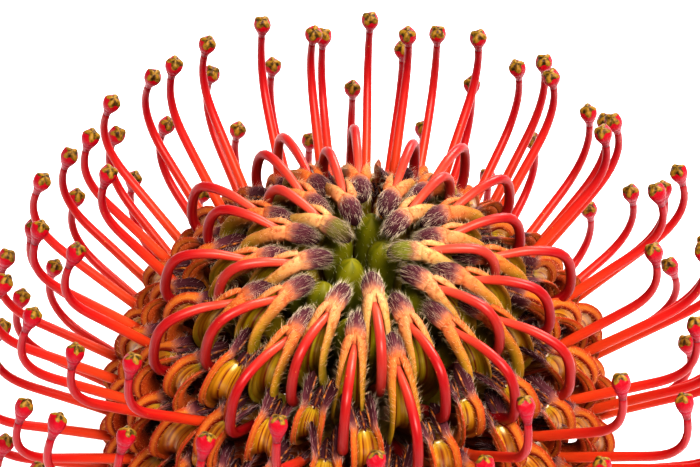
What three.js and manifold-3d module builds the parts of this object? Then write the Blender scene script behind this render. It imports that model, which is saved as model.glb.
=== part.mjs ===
// A picked pincushion protea flower head, standing on its cut stem. Millimetres, +Z up, origin at the
// middle of the cut face. The head is one woody receptacle that carries a spiral of florets. Each
// floret is a perianth, the petals that roll up towards the top of the head, and a pistil, the long
// red style with its pollen presenter. From the top down the florets are closed buds, then looped
// ones whose style tip is still held by the petals, then open ones whose styles stand out like pins.
import * as THREE from "three";
import { mergeVertices } from "three/addons/utils/BufferGeometryUtils.js";
import Module from "manifold-3d";

const wasm = await Module();
wasm.setup();
const { degToRad, lerp, smoothstep } = THREE.MathUtils;

// The spiral of florets
const FLORETS = 150;
const CLOSED_BUDS = 12;
const LOOPED_FLORETS = 28;
const SPIRAL_ROWS = 21; // florets i, i + 21, i + 42 ... stand in one spiral row
const GOLDEN_ANGLE = degToRad(137.508);
const SPIRAL_START = degToRad(153);
const LAST_POLAR_ANGLE = degToRad(116); // of the lowest floret, from the top

// The head
const HEAD_CENTRE_Z = 23.5;
const RECEPTACLE_RADIUS = 11;
const SEAT_GAP = 0.35; // between the receptacle and what stands on it
const STEM_RADIUS = 4.8;

// A floret. Radii are distances from the head's centre.
const TUBE_TOP_RADIUS = 30; // where petals and style part
const PETAL_TOP_RADIUS = 36.8;
const LOOP_TOP_RADIUS = 42.5;
const APICAL_OFFSET = degToRad(6.7); // a perianth stands on the upper side of its own style
const SHORTEST_STYLE = 48.5; // of the upper open florets, from the receptacle
const LONGEST_STYLE = 52.5; // of the lower ones
const STYLE_WIDTH = 1.4;
const PRESENTER_WIDTH = 2.2;
const PRESENTER_LENGTH = 3.2;
const TUBE_WIDTH = 3;
const PETAL_WIDTH = 4.2;
const PETAL_THICKNESS = 1.5;

// Places on the head: polar angle from the top, azimuth round the axis, radius from the centre.
const CENTRE = new THREE.Vector3(0, 0, HEAD_CENTRE_Z);
const polarAngle = (i) =>
  Math.acos(1 - ((i + 0.5) / FLORETS) * (1 - Math.cos(LAST_POLAR_ANGLE)));
const azimuth = (i) => SPIRAL_START + i * GOLDEN_ANGLE;
const outwards = (polar, around) =>
  new THREE.Vector3(
    Math.sin(polar) * Math.cos(around),
    Math.sin(polar) * Math.sin(around),
    Math.cos(polar),
  );
const place = (radius, polar, around) =>
  outwards(polar, around).multiplyScalar(radius).add(CENTRE);
const sideways = (around) => new THREE.Vector3(-Math.sin(around), Math.cos(around), 0);
const atRadius = (point, radius) => point.clone().sub(CENTRE).setLength(radius).add(CENTRE);

const isLooped = (i) => i < CLOSED_BUDS + LOOPED_FLORETS;

// Where a looped floret's petal tips rest, nearer the top of the head than its foot.
const heldTipAngle = (i) => 0.8 * polarAngle(i) - degToRad(17.5);

// A number from -1 to 1 that is always the same for a floret, for small natural differences.
const LEAN = 1;
const LENGTH = 2;
const LAUNCH = 3;
const FINISH = 4;
const wobble = (floret, kind) => {
  const n = Math.sin(floret * 12.9898 + kind * 78.233) * 43758.5453;
  return 2 * (n - Math.floor(n)) - 1;
};

// A solid from a closed geometry, and a geometry from a solid.
const solidOf = (geometry) => {
  const bare = new THREE.BufferGeometry();
  bare.setAttribute("position", geometry.getAttribute("position"));
  bare.setIndex(geometry.index);
  const merged = mergeVertices(bare, 1e-4);
  return new wasm.Manifold(
    new wasm.Mesh({
      numProp: 3,
      vertProperties: merged.attributes.position.array,
      triVerts: new Uint32Array(merged.index.array),
    }),
  );
};
const geometryOf = (solid) => {
  const mesh = solid.getMesh();
  const geometry = new THREE.BufferGeometry();
  geometry.setAttribute("position", new THREE.BufferAttribute(mesh.vertProperties, 3));
  geometry.setIndex(new THREE.BufferAttribute(mesh.triVerts, 1));
  geometry.computeVertexNormals();
  return geometry;
};

// A closed solid through four-cornered rings: a square prism whose corners move to the rings'.
const SIDES = 4;
const loft = (rings) => {
  const prism = new THREE.CylinderGeometry(1, 1, 1, SIDES, rings.length - 1);
  const position = prism.getAttribute("position");
  const corner = new THREE.Vector3();
  for (let v = 0; v < position.count; v++) {
    corner.fromBufferAttribute(position, v);
    const ring = rings[Math.round((corner.y + 0.5) * (rings.length - 1))];
    if (Math.hypot(corner.x, corner.z) < 0.5) {
      corner.copy(ring[0]).lerp(ring[2], 0.5);
    } else {
      const quarter = Math.round(Math.atan2(corner.x, corner.z) / (Math.PI / 2));
      corner.copy(ring[(quarter + SIDES) % SIDES]);
    }
    position.setXYZ(v, corner.x, corner.y, corner.z);
  }
  return solidOf(prism);
};

// A loft along stops. Each has a point, a width along its own `side` and a depth across it.
const loftAlong = (stops) =>
  loft(
    stops.map(({ point, width, depth, side }, k) => {
      const before = stops[Math.max(k - 1, 0)].point;
      const after = stops[Math.min(k + 1, stops.length - 1)].point;
      const along = after.clone().sub(before).normalize();
      const across = along.clone().cross(side).normalize();
      const level = across.clone().cross(along);
      const corner = (w, d) =>
        point.clone().addScaledVector(level, (w * width) / 2).addScaledVector(across, (d * depth) / 2);
      return [corner(1, -1), corner(1, 1), corner(-1, 1), corner(-1, -1)];
    }),
  );

// Stops of one floret, in the upright plane at its azimuth, from [radius, polar angle, width, depth].
const stopsAt = (around, bends) =>
  bends.map(([radius, polar, width, depth]) => ({
    point: place(radius, polar, around),
    width,
    depth,
    side: sideways(around),
  }));

// Where the organs stand. The perianths of a spiral row stand half way to the next row of pistils.
const SEAT_RADIUS = RECEPTACLE_RADIUS + SEAT_GAP;
const pistilFoot = (i) => place(SEAT_RADIUS, polarAngle(i), azimuth(i));
const rowDirection = (i) => {
  const lower = i + SPIRAL_ROWS < FLORETS ? i + SPIRAL_ROWS : i;
  return pistilFoot(lower).sub(pistilFoot(lower - SPIRAL_ROWS)).normalize();
};
const halfRowSpacing = (i) => {
  const circle = 2 * Math.PI * RECEPTACLE_RADIUS * Math.sin(polarAngle(i));
  const downhill = outwards(polarAngle(i) + Math.PI / 2, azimuth(i));
  return (circle / SPIRAL_ROWS / 2) * rowDirection(i).dot(downhill);
};
const perianthFoot = (i) => {
  const across = rowDirection(i).cross(outwards(polarAngle(i), azimuth(i))).normalize();
  const uphill = outwards(polarAngle(i) - Math.PI / 2, azimuth(i));
  const shift = Math.sign(across.dot(uphill)) * halfRowSpacing(i);
  return atRadius(pistilFoot(i).addScaledVector(across, shift), SEAT_RADIUS);
};

// The thin ridge of tissue that a spiral row of pistils or perianths grows from.
const RIDGE_HEIGHT = 0.9;
const RIDGE_END = 0.45;
const RIDGE_SHARE = 0.6; // of the half spacing between rows
const rowRidge = (members, footOf) => {
  const feet = members.map(footOf);
  const beyond = (from, to) => to.clone().addScaledVector(to.clone().sub(from).normalize(), RIDGE_END);
  const points = [
    beyond(feet[1], feet[0]),
    ...feet.slice(1).map((foot, k) => foot.clone().lerp(feet[k], 0.5)),
    beyond(feet.at(-2), feet.at(-1)),
  ];
  const stops = points.map((point, k) => {
    const before = points[Math.max(k - 1, 0)];
    const after = points[Math.min(k + 1, points.length - 1)];
    const out = point.clone().sub(CENTRE).normalize();
    return {
      point: atRadius(point, SEAT_RADIUS + RIDGE_HEIGHT / 2),
      width: RIDGE_SHARE * halfRowSpacing(members[Math.min(k, members.length - 1)]),
      depth: RIDGE_HEIGHT,
      side: out.cross(after.clone().sub(before)).normalize(),
    };
  });
  return loftAlong(stops);
};

// Pistils
const ROOT_RADIUS = SEAT_RADIUS + RIDGE_HEIGHT / 2; // a stalk starts inside its ridge
const ROOT_WIDTH = 0.24;
const ROOT_DEPTH = 0.4;
const pistilLoop = (i) => {
  const root = polarAngle(i);
  const tip = heldTipAngle(i) + degToRad(7.5);
  const held = 0.7 * STYLE_WIDTH;
  return stopsAt(azimuth(i), [
    [TUBE_TOP_RADIUS, 1.05 * root, STYLE_WIDTH, STYLE_WIDTH],
    [LOOP_TOP_RADIUS - 3.2, 1.07 * root, STYLE_WIDTH, STYLE_WIDTH],
    [LOOP_TOP_RADIUS, lerp(root, tip, 0.45), STYLE_WIDTH, STYLE_WIDTH],
    [LOOP_TOP_RADIUS - 3.2, tip, held, held],
  ]);
};

// A pin's path beyond the petals: it bends from its root's direction to its launch direction, which
// leans further over on the lower florets, and then hooks upwards to its tip.
const UPPER_LAUNCH = degToRad(44);
const LOWER_LAUNCH = degToRad(66);
const MOST_BENT = degToRad(31); // from the root's direction, so that a style clears its petals
const LAUNCHING_LENGTH = 7;
const HOOK_START = 0.5; // share of the path
const HOOK_FINISH = degToRad(4);
const PATH_STEPS = 40;
const pinPath = (i) => {
  const root = polarAngle(i);
  const start = TUBE_TOP_RADIUS - RECEPTACLE_RADIUS;
  const typical = lerp(SHORTEST_STYLE, LONGEST_STYLE, smoothstep(root, degToRad(50), degToRad(80)));
  const length = typical * (1 + 0.03 * wobble(i, LENGTH));
  const lean = lerp(UPPER_LAUNCH, LOWER_LAUNCH, smoothstep(root, degToRad(45), degToRad(95)));
  const launch = Math.max(lean + degToRad(3) * wobble(i, LAUNCH), root - MOST_BENT);
  const finish = HOOK_FINISH + degToRad(7) * wobble(i, FINISH);
  const sway = degToRad(8) * wobble(i, LEAN);
  const points = [place(TUBE_TOP_RADIUS, root, azimuth(i))];
  for (let step = 0; step < PATH_STEPS; step++) {
    const share = (step + 0.5) / PATH_STEPS;
    const walked = lerp(start, length, share);
    const launched = smoothstep(walked, start, start + LAUNCHING_LENGTH);
    const hooked = smoothstep(walked, lerp(start, length, HOOK_START), length + 1);
    const climb = lerp(lerp(root, launch, launched), finish, hooked);
    const heading = outwards(climb, azimuth(i) + sway * share);
    points.push(points.at(-1).clone().addScaledVector(heading, (length - start) / PATH_STEPS));
  }
  return new THREE.CatmullRomCurve3(points);
};
const pistilPin = (i) => {
  const path = pinPath(i);
  const presenterStart = 1 - PRESENTER_LENGTH / path.getLength();
  const widths = [
    [0, STYLE_WIDTH],
    [0.3, STYLE_WIDTH],
    [0.6, STYLE_WIDTH],
    [0.78, 0.9 * STYLE_WIDTH],
    [presenterStart, 0.75 * STYLE_WIDTH],
    [1, PRESENTER_WIDTH],
  ];
  return widths.map(([share, width]) => ({
    point: path.getPointAt(share),
    width,
    depth: width,
    side: sideways(azimuth(i)),
  }));
};
const pistil = (i) => {
  const root = stopsAt(azimuth(i), [[ROOT_RADIUS, polarAngle(i), ROOT_WIDTH, ROOT_DEPTH]]);
  return loftAlong([...root, ...(isLooped(i) ? pistilLoop(i) : pistilPin(i))]);
};

// Perianths: looped ones reach over to the held style tip, open ones roll back over their own top.
const perianthUp = (i) => polarAngle(i) - Math.min(APICAL_OFFSET, polarAngle(i) / 2);
const loopedPerianth = (i) => {
  const up = perianthUp(i);
  const tip = heldTipAngle(i);
  return [
    [TUBE_TOP_RADIUS, up + degToRad(0.5), 0.9 * TUBE_WIDTH, PETAL_THICKNESS],
    [PETAL_TOP_RADIUS - 1.6, up - degToRad(3), TUBE_WIDTH, PETAL_THICKNESS],
    [PETAL_TOP_RADIUS - 0.2, lerp(up, tip, 0.62), 0.8 * TUBE_WIDTH, 1.2 * PETAL_THICKNESS],
    [PETAL_TOP_RADIUS - 0.6, tip, 1, 1],
  ];
};
const openPerianth = (i) => {
  const up = perianthUp(i);
  return [
    [TUBE_TOP_RADIUS, up + degToRad(1), TUBE_WIDTH, PETAL_THICKNESS],
    [PETAL_TOP_RADIUS - 1.4, up, PETAL_WIDTH, PETAL_THICKNESS],
    [PETAL_TOP_RADIUS, up - degToRad(7), PETAL_WIDTH, PETAL_THICKNESS],
    [PETAL_TOP_RADIUS - 3.6, up - degToRad(12.5), 0.5 * PETAL_WIDTH, PETAL_THICKNESS],
  ];
};
const perianth = (i) => {
  const root = {
    point: atRadius(perianthFoot(i), ROOT_RADIUS),
    width: ROOT_WIDTH,
    depth: ROOT_DEPTH,
    side: sideways(azimuth(i)),
  };
  const bends = isLooped(i) ? loopedPerianth(i) : openPerianth(i);
  return loftAlong([root, ...stopsAt(azimuth(i), bends)]);
};

// Closed buds are shorter than the florets round them, and stand on one small disc at the very top.
const BUD_TOP_RADIUS = 32.8;
const DISC_SIDES = 10;
const closedBud = (i) => {
  const root = polarAngle(i);
  return loftAlong(
    stopsAt(azimuth(i), [
      [ROOT_RADIUS, root, 1, 1.4],
      [26, 0.95 * root, 3, 3],
      [30, 0.88 * root, 3.6, 3.6],
      [BUD_TOP_RADIUS, 0.76 * root, 1.2, 1.2],
    ]),
  );
};
const budDisc = () => {
  const edge = polarAngle(CLOSED_BUDS - 1) - degToRad(2.6);
  const top = SEAT_RADIUS + RIDGE_HEIGHT;
  const onArc = (radius, share) =>
    new THREE.Vector2(radius * Math.sin(edge * share), radius * Math.cos(edge * share) + HEAD_CENTRE_Z);
  const under = [0, 0.5, 1].map((share) => onArc(SEAT_RADIUS, share));
  const over = [1, 0.5, 0].map((share) => onArc(top, share));
  return solidOf(new THREE.LatheGeometry([...under, ...over], DISC_SIDES).rotateX(Math.PI / 2));
};

// The cut stem widens into the receptacle, all one piece of wood.
const STEM_SIDES = 18;
const BALL_STEPS = 8;
const LOWEST_ON_BALL = degToRad(122);
const stemAndReceptacle = () => {
  const flare = [[0, 0], [STEM_RADIUS, 0], [STEM_RADIUS, 4.5], [5.3, 8], [6.6, 11], [8.6, 14.5]];
  const profile = flare.map(([radius, z]) => new THREE.Vector2(radius, z));
  for (let step = 0; step < BALL_STEPS; step++) {
    const polar = LOWEST_ON_BALL * (1 - step / BALL_STEPS);
    const radius = RECEPTACLE_RADIUS * Math.sin(polar);
    profile.push(new THREE.Vector2(radius, HEAD_CENTRE_Z + RECEPTACLE_RADIUS * Math.cos(polar)));
  }
  profile.push(new THREE.Vector2(0, HEAD_CENTRE_Z + RECEPTACLE_RADIUS));
  return solidOf(new THREE.LatheGeometry(profile, STEM_SIDES).rotateX(Math.PI / 2));
};

// Involucral bracts: small scales in two whorls under the lowest florets, as [radius, z, width, depth].
const UPPER_WHORL = {
  count: 8,
  path: [[6.4, 8.9, 3.4, 0.9], [7.9, 11, 4.8, 1], [9.8, 13.4, 5.6, 1], [12.4, 15.2, 1, 0.6]],
};
const LOWER_WHORL = {
  count: 5,
  path: [[5.75, 4.4, 3.6, 1], [6.7, 6.5, 5.2, 1], [8.3, 8.3, 4.8, 1], [9.9, 9.4, 1, 0.6]],
};
const bract = (path, around) =>
  loftAlong(
    path.map(([radius, z, width, depth]) => ({
      point: new THREE.Vector3(radius * Math.cos(around), radius * Math.sin(around), z),
      width,
      depth,
      side: sideways(around),
    })),
  );

// Colours
const material = (color, roughness) =>
  new THREE.MeshStandardMaterial({ color, roughness, metalness: 0 });
const WOODY_GREEN = material(0x8a9a3c, 0.7);
const BRACT_BROWN = material(0x9a6a45, 0.8);
const BUD_GREEN = material(0xa9a650, 0.6);
const PETAL_ORANGE = material(0xd9772b, 0.5);
const STYLE_RED = material(0xe03226, 0.35);

// The flower, one named mesh for each piece
const flower = new THREE.Group();
const add = (name, solid, finish) => {
  const mesh = new THREE.Mesh(geometryOf(solid), finish);
  mesh.name = name;
  flower.add(mesh);
};
const numbered = (name, n) => name + "_" + String(n).padStart(2, "0");

add("stem_and_receptacle", stemAndReceptacle(), WOODY_GREEN);

let bracts = 0;
for (const whorl of [UPPER_WHORL, LOWER_WHORL]) {
  for (let k = 0; k < whorl.count; k++) {
    bracts += 1;
    const around = (2 * Math.PI * k) / whorl.count;
    add(numbered("involucral_bract", bracts), bract(whorl.path, around), BRACT_BROWN);
  }
}

let buds = budDisc();
for (let i = 0; i < CLOSED_BUDS; i++) buds = buds.add(closedBud(i));
add("closed_buds", buds, BUD_GREEN);

const spiralRow = (members, make, footOf) =>
  members.map(make).reduce((row, organ) => row.add(organ), rowRidge(members, footOf));
for (let row = 0; row < SPIRAL_ROWS; row++) {
  const members = [];
  for (let i = CLOSED_BUDS + row; i < FLORETS; i += SPIRAL_ROWS) members.push(i);
  add(numbered("pistils_spiral", row + 1), spiralRow(members, pistil, pistilFoot), STYLE_RED);
  add(numbered("perianths_spiral", row + 1), spiralRow(members, perianth, perianthFoot), PETAL_ORANGE);
}

export default flower;
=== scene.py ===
# %% [markdown]
# A pincushion protea flower head, picked and standing on its cut stem. The construction model gives
# the place of every floret as plain tapered solids. This lesson replaces each of them with a modelled
# one: rolled petals with hairy tips, long hooked styles, knobbed pollen presenters, bracts and stem.
# The frame comes first, because every later size and place is worked out from it.

# %% Load the frame
import math
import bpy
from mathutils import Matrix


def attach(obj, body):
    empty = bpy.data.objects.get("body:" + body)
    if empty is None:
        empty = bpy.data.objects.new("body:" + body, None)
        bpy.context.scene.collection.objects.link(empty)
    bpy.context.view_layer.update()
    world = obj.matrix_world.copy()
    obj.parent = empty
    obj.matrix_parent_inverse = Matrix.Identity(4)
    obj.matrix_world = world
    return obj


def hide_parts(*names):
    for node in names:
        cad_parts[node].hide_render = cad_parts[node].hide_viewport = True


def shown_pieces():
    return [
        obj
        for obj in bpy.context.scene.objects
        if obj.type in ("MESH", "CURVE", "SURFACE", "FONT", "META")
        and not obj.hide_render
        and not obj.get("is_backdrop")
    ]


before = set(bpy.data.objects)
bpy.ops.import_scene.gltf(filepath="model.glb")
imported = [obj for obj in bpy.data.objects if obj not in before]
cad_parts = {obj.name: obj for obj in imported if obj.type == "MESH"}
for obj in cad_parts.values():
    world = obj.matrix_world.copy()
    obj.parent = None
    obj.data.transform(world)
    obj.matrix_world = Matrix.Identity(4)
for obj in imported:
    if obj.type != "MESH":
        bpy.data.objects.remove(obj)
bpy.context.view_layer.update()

from types import SimpleNamespace

import bmesh
import bpy
import numpy as np
from mathutils import Matrix, Vector

MM = 0.001
print("pieces in the frame:", len(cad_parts))

# %% [markdown]
# On the real plant the florets stand in a golden-angle spiral on a round receptacle. Each place on the
# head is a polar angle from the top, an azimuth round the stem and a distance from the head's centre.
# The same few numbers rule the construction model, so a floret made here stands exactly on its own foot.
# Placing them by eye would lose the spiral rows that the eye picks out at once.

# %% The spiral of florets
FLORETS = 150
CLOSED_BUDS = 12
LOOPED_FLORETS = 28
FIRST_OPEN = CLOSED_BUDS + LOOPED_FLORETS
SPIRAL_ROWS = 21
GOLDEN_ANGLE = math.radians(137.508)
SPIRAL_START = math.radians(153)
LAST_POLAR_ANGLE = math.radians(116)
HEAD_CENTRE = np.array([0, 0, 23.5 * MM])
RECEPTACLE_RADIUS = 11 * MM
SEAT_RADIUS = RECEPTACLE_RADIUS + 0.4 * MM
TUBE_TOP_RADIUS = 30 * MM

number = np.arange(FLORETS)
polar = np.arccos(1 - (number + 0.5) / FLORETS * (1 - math.cos(LAST_POLAR_ANGLE)))
around = SPIRAL_START + number * GOLDEN_ANGLE
age = number / (FLORETS - 1)


def outwards(polar_angle, azimuth):
    flat = np.sin(polar_angle)
    return np.stack(np.broadcast_arrays(
        flat * np.cos(azimuth), flat * np.sin(azimuth), np.cos(polar_angle)), -1)


def place(radius, polar_angle, azimuth):
    return HEAD_CENTRE + np.asarray(radius)[..., None] * outwards(polar_angle, azimuth)


def sideways(azimuth):
    return np.array([-math.sin(azimuth), math.cos(azimuth), 0.0])


def mix(start, end, share):
    return start + (end - start) * share


def smoothstep(x, low, high):
    share = np.clip((x - low) / (high - low), 0, 1)
    return share * share * (3 - 2 * share)


# The kinds of small difference between one floret and the next.
LEAN, LENGTH, LAUNCH, FINISH, TURN, TWIST, TILT = range(1, 8)


def wobble(floret, kind):
    """A fixed number from -1 to 1 for a floret and a kind, the same as in the construction."""
    n = math.sin(floret * 12.9898 + kind * 78.233) * 43758.5453
    return 2 * (n - math.floor(n)) - 1


print("florets:", FLORETS, "lowest at", round(math.degrees(polar[-1])), "degrees from the top")

# %% [markdown]
# The camera stands where the photographer stood: far off, with a long lens, looking down on the head
# at about 48 degrees. A long lens keeps near and far florets almost the same size. The head's centre
# lies well below the middle of the picture, so the lower edge crops the front of the flower.

# %% Camera
PHOTO_WIDTH = 700
PIXELS_PER_MM = 6.75
CAMERA_ELEVATION = math.radians(48)
CAMERA_DISTANCE = 500 * MM
CAMERA_ROLL = math.radians(3)
SENSOR_WIDTH = 36
NEAREST_SEEN = 50 * MM
FARTHEST_SEEN = 5000 * MM
CENTRE_RIGHT = 8
CENTRE_BELOW = 181

camera_data = bpy.data.cameras.new("camera")
camera = bpy.data.objects.new("camera", camera_data)
bpy.context.scene.collection.objects.link(camera)
bpy.context.scene.camera = camera
camera_data.sensor_width = SENSOR_WIDTH
camera_data.lens = SENSOR_WIDTH * PIXELS_PER_MM * CAMERA_DISTANCE / MM / PHOTO_WIDTH
camera_data.clip_start = NEAREST_SEEN
camera_data.clip_end = FARTHEST_SEEN
backwards = Vector((0, -math.cos(CAMERA_ELEVATION), math.sin(CAMERA_ELEVATION)))
level_up = Vector((0, math.sin(CAMERA_ELEVATION), math.cos(CAMERA_ELEVATION)))
level_right = Vector((1, 0, 0))
camera_right = level_right * math.cos(CAMERA_ROLL) + level_up * math.sin(CAMERA_ROLL)
camera_up = level_up * math.cos(CAMERA_ROLL) - level_right * math.sin(CAMERA_ROLL)
aim = Vector(HEAD_CENTRE) + (camera_up * CENTRE_BELOW - camera_right * CENTRE_RIGHT) / PIXELS_PER_MM * MM
turned = Matrix((camera_right, camera_up, backwards)).transposed().to_4x4()
camera.matrix_world = Matrix.Translation(aim + backwards * CAMERA_DISTANCE) @ turned
print("lens", round(camera_data.lens), "mm")

# %% [markdown]
# A finish on a plant is never one flat colour. Each one here is a Principled shader whose colour runs
# along the organ and with the age of the floret, read from three attributes that every mesh carries:
# along (0 at the foot, 1 at the tip), across (-1 to 1) and age (0 at the top of the head, 1 at the
# lowest floret). Noise on Object coordinates adds the blotches. These helpers keep each finish short.

# %% Helpers for finishes
def new_finish(name, roughness, **settings):
    made = bpy.data.materials.new(name)
    made.use_nodes = True
    tree = made.node_tree
    shader = tree.nodes["Principled BSDF"]
    shader.inputs["Roughness"].default_value = roughness
    for socket, value in settings.items():
        shader.inputs[socket.replace("_", " ")].default_value = value
    return SimpleNamespace(material=made, tree=tree, nodes=tree.nodes, shader=shader)


def linked(finish, kind, inputs, **settings):
    """A node of that kind; a socket takes a value, or is linked to another node's output."""
    node = finish.nodes.new(kind)
    for name, value in settings.items():
        setattr(node, name, value)
    for name, value in inputs.items():
        if isinstance(value, bpy.types.NodeSocket):
            finish.tree.links.new(value, node.inputs[name])
        else:
            node.inputs[name].default_value = value
    return node


def attribute(finish, name):
    return linked(finish, "ShaderNodeAttribute", {}, attribute_name=name).outputs["Fac"]


def math_node(finish, operation, first, second=0.0):
    return linked(finish, "ShaderNodeMath", {0: first, 1: second}, operation=operation).outputs[0]


def times(finish, first, second):
    return math_node(finish, "MULTIPLY", first, second)


def plus(finish, first, second):
    return math_node(finish, "ADD", first, second)


def to_either_side(finish):
    """How far across an organ: 0 in its middle and 1 at both edges."""
    return math_node(finish, "ABSOLUTE", attribute(finish, "across"))


def ramp(finish, source, stops):
    """Colours by a value from 0 to 1: stops are (place, (red, green, blue))."""
    node = linked(finish, "ShaderNodeValToRGB", {"Fac": source})
    elements = node.color_ramp.elements
    while len(elements) < len(stops):
        elements.new(1.0)
    for element, (position, colour) in zip(elements, stops):
        element.position = position
        element.color = (*colour, 1)
    return node.outputs["Color"]


def blended(finish, share, first, second):
    """From the first colour to the second by a share from 0 to 1; each is a tuple or a node's output."""
    node = finish.nodes.new("ShaderNodeMix")
    node.data_type = "RGBA"
    for socket, value in ((node.inputs[0], share), (node.inputs[6], first), (node.inputs[7], second)):
        if isinstance(value, bpy.types.NodeSocket):
            finish.tree.links.new(value, socket)
        elif isinstance(value, tuple):
            socket.default_value = (*value, 1)
        else:
            socket.default_value = value
    return node.outputs[2]


def noise(finish, scale, detail=3.0, vector=None):
    if vector is None:
        vector = finish.nodes.new("ShaderNodeTexCoord").outputs["Object"]
    inputs = {"Vector": vector, "Scale": scale, "Detail": detail}
    return linked(finish, "ShaderNodeTexNoise", inputs).outputs["Fac"]


def streaks(finish, count):
    """Noise drawn out lengthwise: fine lines that run along the organ, different on each floret."""
    parts = {
        "X": times(finish, attribute(finish, "across"), count),
        "Y": times(finish, attribute(finish, "along"), 0.8),
        "Z": times(finish, attribute(finish, "age"), 400),
    }
    joined = linked(finish, "ShaderNodeCombineXYZ", parts).outputs[0]
    return noise(finish, 1.0, 2.0, joined)


def contrast(finish, value, nothing, full):
    """0 where the value is at nothing or past it, 1 at full or past it; full may be the smaller one."""
    inputs = {"Value": value, "From Min": nothing, "From Max": full}
    return linked(finish, "ShaderNodeMapRange", inputs).outputs["Result"]


def between(finish, name, nothing, full):
    """The same for an attribute of the mesh."""
    return contrast(finish, attribute(finish, name), nothing, full)


def coloured(finish, colour):
    finish.tree.links.new(colour, finish.shader.inputs["Base Color"])


def bumped(finish, height, strength, distance):
    inputs = {"Height": height, "Strength": strength, "Distance": distance}
    node = linked(finish, "ShaderNodeBump", inputs)
    finish.tree.links.new(node.outputs[0], finish.shader.inputs["Normal"])


# %% [markdown]
# The rolled petals show two skins. The inside, which the rolling turns outwards, is bare and glossy:
# olive on the young florets round the top, gold on the open ones and red-brown on the oldest, with fine
# dark lines that run lengthwise. Two materials on one mesh, chosen by the face, keep gloss and down apart.

# %% Petal finishes
# The joins' dark lines lie on the ridges of the mesh, this far across from its middle.
JOIN_ACROSS = 0.309
FINE_LINE = (0.14, 0.035, 0.004)
JOIN_LINE = (0.17, 0.025, 0.005)
RED_EDGE = (0.26, 0.03, 0.008)
DEEP_BROWN = (0.22, 0.045, 0.005)
GREEN_END = (0.38, 0.30, 0.012)
# Painted shade: the near-black of the hollow under the petal tips at the very end of the gutter.
HOLLOW_PAINTED_SHADE = (0.07, 0.012, 0.004)
RED_SPECK = (0.30, 0.03, 0.01)
PALE_FUZZ = (0.80, 0.34, 0.15)
DARK_END = (0.22, 0.05, 0.03)
YOUNG_GREEN = (0.20, 0.22, 0.02)
RUST = (0.32, 0.12, 0.08)
SILKY_ROSE = (0.30, 0.14, 0.15)
MARGIN_FOOT = (0.28, 0.018, 0.004)
GOLDEN_BAND = (0.62, 0.24, 0.035)
MARGIN_LINE = (0.15, 0.010, 0.003)
RED_RIM = (0.30, 0.028, 0.010)


def petal_inside_finish():
    finish = new_finish("petal_inside", 0.32, Specular_IOR_Level=0.5, Coat_Weight=0.7,
                        Coat_Roughness=0.27, Coat_Tint=(1, 0.92, 0.7, 1), Specular_Tint=(1, 0.8, 0.4, 1),
                        Subsurface_Weight=0.1, Subsurface_Radius=(0.8, 0.35, 0.1),
                        Subsurface_Scale=1 * MM)
    ground = ramp(finish, attribute(finish, "age"), [
        (0.08, (0.35, 0.31, 0.008)), (0.22, (0.46, 0.31, 0.012)), (0.3, (0.47, 0.23, 0.014)),
        (0.6, (0.40, 0.15, 0.012)), (1.0, (0.31, 0.07, 0.007))])
    lines = contrast(finish, streaks(finish, 7), 0.42, 0.66)
    lined = blended(finish, times(finish, lines, 0.8), ground, FINE_LINE)
    aside = to_either_side(finish)
    from_join = math_node(finish, "ABSOLUTE", math_node(finish, "SUBTRACT", aside, JOIN_ACROSS))
    joined = blended(finish, contrast(finish, from_join, 0.06, 0.02), lined, JOIN_LINE)
    edge = math_node(finish, "POWER", aside, 5)
    edged = blended(finish, times(finish, edge, 0.9), joined, RED_EDGE)
    deep = times(finish, between(finish, "along", 0.86, 0.74), between(finish, "age", 0.2, 0.45))
    deepened = blended(finish, deep, edged, DEEP_BROWN)
    greenish = times(finish, between(finish, "along", 0.94, 0.975), 0.5)
    greened = blended(finish, greenish, deepened, GREEN_END)
    # Painted shade: the last stretch of the gutter is darkened for the hollow under the petal tips.
    coloured(finish, blended(finish, between(finish, "along", 0.975, 1.0), greened, HOLLOW_PAINTED_SHADE))
    bumped(finish, streaks(finish, 16), 0.5, 0.08 * MM)
    return finish.material


def downy_skin(finish):
    """The orange of the petals' backs by the floret's age, with fine red specks."""
    ground = ramp(finish, attribute(finish, "age"), [
        (0.08, (0.58, 0.34, 0.14)), (0.11, (0.62, 0.27, 0.12)), (0.17, (0.57, 0.19, 0.07)),
        (0.28, (0.44, 0.10, 0.018)), (0.6, (0.30, 0.042, 0.006)), (1.0, (0.23, 0.020, 0.004))])
    specks = contrast(finish, noise(finish, 1500), 0.5, 0.68)
    specked = blended(finish, times(finish, specks, 0.6), ground, RED_SPECK)
    fuzz = contrast(finish, noise(finish, 5200), 0.54, 0.66)
    return blended(finish, times(finish, fuzz, 0.25), specked, PALE_FUZZ)


def petal_outside_finish():
    finish = new_finish("petal_outside", 0.55, Specular_IOR_Level=0.18, Specular_Tint=(1, 0.5, 0.2, 1),
                        Sheen_Weight=0.05, Sheen_Roughness=0.35, Sheen_Tint=(1, 0.55, 0.3, 1),
                        Subsurface_Weight=0.1, Subsurface_Radius=(0.9, 0.35, 0.12),
                        Subsurface_Scale=1 * MM)
    upper = between(finish, "along", 0.7, 0.86)
    edge = contrast(finish, to_either_side(finish), 0.72, 0.95)
    rim = times(finish, edge, between(finish, "along", 0.62, 0.86))
    downy = math_node(finish, "MAXIMUM", upper, rim)
    young = between(finish, "age", 0.36, 0.24)
    bare = times(finish, math_node(finish, "SUBTRACT", 1.0, downy), young)
    shade = ramp(finish, noise(finish, 260), [(0.35, (0.18, 0.14, 0.006)), (0.65, (0.34, 0.22, 0.014))])
    footed = blended(finish, bare, downy_skin(finish), shade)
    coloured(finish, blended(finish, between(finish, "along", 0.92, 1.0), footed, DARK_END))
    bumped(finish, noise(finish, 2600), 0.6, 0.12 * MM)
    return finish.material


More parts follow.
